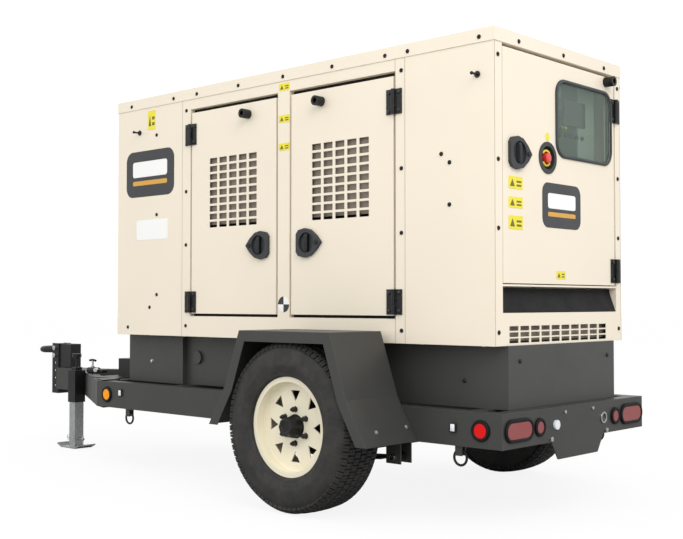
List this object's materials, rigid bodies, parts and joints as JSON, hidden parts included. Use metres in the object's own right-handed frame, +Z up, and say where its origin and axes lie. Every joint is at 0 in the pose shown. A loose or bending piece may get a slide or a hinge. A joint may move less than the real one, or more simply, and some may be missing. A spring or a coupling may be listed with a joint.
{
  "type": "towable diesel generator",
  "caption": "Sound-proofed diesel generator on a single-axle trailer, with hinged service doors, control panel, lunette eye coupler and drop-leg jack.",
  "frame": {"origin": "on the ground, on the centre line, half-way along the trailer", "axes": "+X to the rear (control) end, +Y to the right-hand side seen from the tongue looking back, +Z up"},
  "size_m": [3.989, 1.71, 1.93],
  "materials": {
    "cream_paint": "satin cream powder coat",
    "rim_paint": "satin cream paint",
    "chassis_paint": "satin dark grey paint",
    "black_plastic": "fine moulded texture",
    "black_steel": "satin black paint",
    "zinc": "bright zinc plate",
    "jack_zinc": "dull zinc plate",
    "tyre": "tread rubber",
    "rubber": "matt rubber",
    "red_lens": "clear red lens",
    "amber_lens": "clear amber lens",
    "red_button": "glossy red plastic",
    "glass": "tinted glass",
    "engine_paint": "gloss engine enamel",
    "grey_paint": "grey enamel",
    "panel_grey": "dark grey textured paint",
    "radiator_black": "black finned core"
  },
  "bodies": {
    "trailer": {"roof": "cream_paint", "body_panels": "cream_paint", "side_frames": "cream_paint", "rear_wall": "cream_paint", "floor_deck": "chassis_paint", "enclosure_screws": "black_plastic", "hinge_leaves_and_studs": "black_plastic", "door_seals": "rubber", "control_cabinet": "panel_grey", "engine": "engine_paint", "alternator": "grey_paint", "radiator": "radiator_black", "base_tank": "chassis_paint", "chassis_rails": "chassis_paint", "drawbar": "chassis_paint", "rear_bumper": "chassis_paint", "fenders": "chassis_paint", "coupler_channel": "black_steel", "lunette_eye": "black_steel", "jack_tube": "black_steel", "tongue_box": "black_plastic", "axle_and_springs": "black_steel", "red_lamps": "red_lens", "amber_lamps": "amber_lens", "lamp_grommets": "rubber", "bright_fasteners": "zinc"},
    "left_front_door": {"left_front_door": "cream_paint", "left_front_door_fittings": "black_plastic"},
    "left_front_door_latch": {"left_front_door_latch": "black_plastic"},
    "left_rear_door": {"left_rear_door": "cream_paint", "left_rear_door_fittings": "black_plastic"},
    "left_rear_door_latch": {"left_rear_door_latch": "black_plastic"},
    "right_front_door": {"right_front_door": "cream_paint", "right_front_door_fittings": "black_plastic"},
    "right_front_door_latch": {"right_front_door_latch": "black_plastic"},
    "right_rear_door": {"right_rear_door": "cream_paint", "right_rear_door_fittings": "black_plastic"},
    "right_rear_door_latch": {"right_rear_door_latch": "black_plastic"},
    "control_door": {"control_door": "cream_paint", "control_door_fittings": "black_plastic", "control_window": "glass"},
    "control_door_latch": {"control_door_latch": "black_plastic"},
    "emergency_stop": {"emergency_stop_button": "red_button"},
    "cable_flap": {"cable_flap": "rubber"},
    "selector_knob": {"selector_knob": "black_plastic"},
    "breaker_handle": {"breaker_handle": "black_plastic"},
    "fan": {"fan": "black_plastic"},
    "jack_leg": {"jack_leg": "jack_zinc"},
    "jack_pin": {"jack_pin": "zinc"},
    "jack_knob": {"jack_knob": "black_plastic"},
    "left_wheel": {"left_tyre": "tyre", "left_rim": "rim_paint", "left_hub": "black_steel"},
    "left_front_ring": {"left_front_ring": "black_steel"},
    "left_rear_ring": {"left_rear_ring": "black_steel"},
    "right_wheel": {"right_tyre": "tyre", "right_rim": "rim_paint", "right_hub": "black_steel"},
    "right_front_ring": {"right_front_ring": "black_steel"},
    "right_rear_ring": {"right_rear_ring": "black_steel"}
  },
  "joints": [
    {"name": "left_front_door_swing", "type": "hinge", "parent": "trailer", "child": "left_front_door", "pos_m": [0.098, -0.503, 0.808], "axis": [0, 0, -1], "range_deg": [0, 172]},
    {"name": "left_front_door_latch_turn", "type": "hinge", "parent": "left_front_door", "child": "left_front_door_latch", "pos_m": [0.602, -0.503, 1.129], "axis": [0, 1, 0], "range_deg": [0, 90]},
    {"name": "left_rear_door_swing", "type": "hinge", "parent": "trailer", "child": "left_rear_door", "pos_m": [1.418, -0.503, 0.808], "axis": [0, 0, 1], "range_deg": [0, 172]},
    {"name": "left_rear_door_latch_turn", "type": "hinge", "parent": "left_rear_door", "child": "left_rear_door_latch", "pos_m": [0.914, -0.503, 1.129], "axis": [0, -1, 0], "range_deg": [0, 90]},
    {"name": "right_front_door_swing", "type": "hinge", "parent": "trailer", "child": "right_front_door", "pos_m": [0.098, 0.503, 0.808], "axis": [0, 0, 1], "range_deg": [0, 172]},
    {"name": "right_front_door_latch_turn", "type": "hinge", "parent": "right_front_door", "child": "right_front_door_latch", "pos_m": [0.602, 0.503, 1.129], "axis": [0, 1, 0], "range_deg": [0, 90]},
    {"name": "right_rear_door_swing", "type": "hinge", "parent": "trailer", "child": "right_rear_door", "pos_m": [1.418, 0.503, 0.808], "axis": [0, 0, -1], "range_deg": [0, 172]},
    {"name": "right_rear_door_latch_turn", "type": "hinge", "parent": "right_rear_door", "child": "right_rear_door_latch", "pos_m": [0.914, 0.503, 1.129], "axis": [0, -1, 0], "range_deg": [0, 90]},
    {"name": "control_door_swing", "type": "hinge", "parent": "trailer", "child": "control_door", "pos_m": [1.928, 0.441, 0.938], "axis": [0, 0, -1], "range_deg": [-180, 0]},
    {"name": "control_door_latch_turn", "type": "hinge", "parent": "control_door", "child": "control_door_latch", "pos_m": [1.928, -0.336, 1.453], "axis": [1, 0, 0], "range_deg": [0, 90]},
    {"name": "emergency_stop_push", "type": "slide", "parent": "control_door", "child": "emergency_stop", "axis": [-1, 0, 0], "range_m": [0, 0.005], "stiffness_N_per_m": 1500},
    {"name": "cable_flap_lift", "type": "hinge", "parent": "trailer", "child": "cable_flap", "pos_m": [1.881, 0, 0.916], "axis": [0, -1, 0], "range_deg": [0, 70]},
    {"name": "selector_knob_turn", "type": "hinge", "parent": "trailer", "child": "selector_knob", "pos_m": [1.8523, 0.06, 1.584], "axis": [1, 0, 0], "range_deg": [0, 90]},
    {"name": "breaker_handle_throw", "type": "hinge", "parent": "trailer", "child": "breaker_handle", "pos_m": [1.856, 0, 1.439], "axis": [0, 1, 0], "range_deg": [-20, 20]},
    {"name": "fan_spin", "type": "hinge", "parent": "trailer", "child": "fan", "pos_m": [-0.263, 0, 1.08], "axis": [1, 0, 0], "continuous": true},
    {"name": "jack_leg_slide", "type": "slide", "parent": "trailer", "child": "jack_leg", "axis": [0, 0, 1], "range_m": [0, 0.12]},
    {"name": "jack_pin_slide", "type": "slide", "parent": "jack_leg", "child": "jack_pin", "axis": [1, 0, 0], "range_m": [0, 0.1]},
    {"name": "jack_knob_pull", "type": "slide", "parent": "trailer", "child": "jack_knob", "axis": [0, 0, 1], "range_m": [0, 0.015], "stiffness_N_per_m": 800},
    {"name": "left_wheel_spin", "type": "hinge", "parent": "trailer", "child": "left_wheel", "pos_m": [1.126, -0.7425, 0.354], "axis": [0, 1, 0], "continuous": true},
    {"name": "left_front_ring_swing", "type": "hinge", "parent": "trailer", "child": "left_front_ring", "pos_m": [-0.356, -0.525, 0.282], "axis": [0, 1, 0], "range_deg": [-60, 60]},
    {"name": "left_rear_ring_swing", "type": "hinge", "parent": "trailer", "child": "left_rear_ring", "pos_m": [1.776, -0.525, 0.282], "axis": [0, 1, 0], "range_deg": [-60, 60]},
    {"name": "right_wheel_spin", "type": "hinge", "parent": "trailer", "child": "right_wheel", "pos_m": [1.126, 0.7425, 0.354], "axis": [0, 1, 0], "continuous": true},
    {"name": "right_front_ring_swing", "type": "hinge", "parent": "trailer", "child": "right_front_ring", "pos_m": [-0.356, 0.525, 0.282], "axis": [0, 1, 0], "range_deg": [-60, 60]},
    {"name": "right_rear_ring_swing", "type": "hinge", "parent": "trailer", "child": "right_rear_ring", "pos_m": [1.776, 0.525, 0.282], "axis": [0, 1, 0], "range_deg": [-60, 60]}
  ]
}
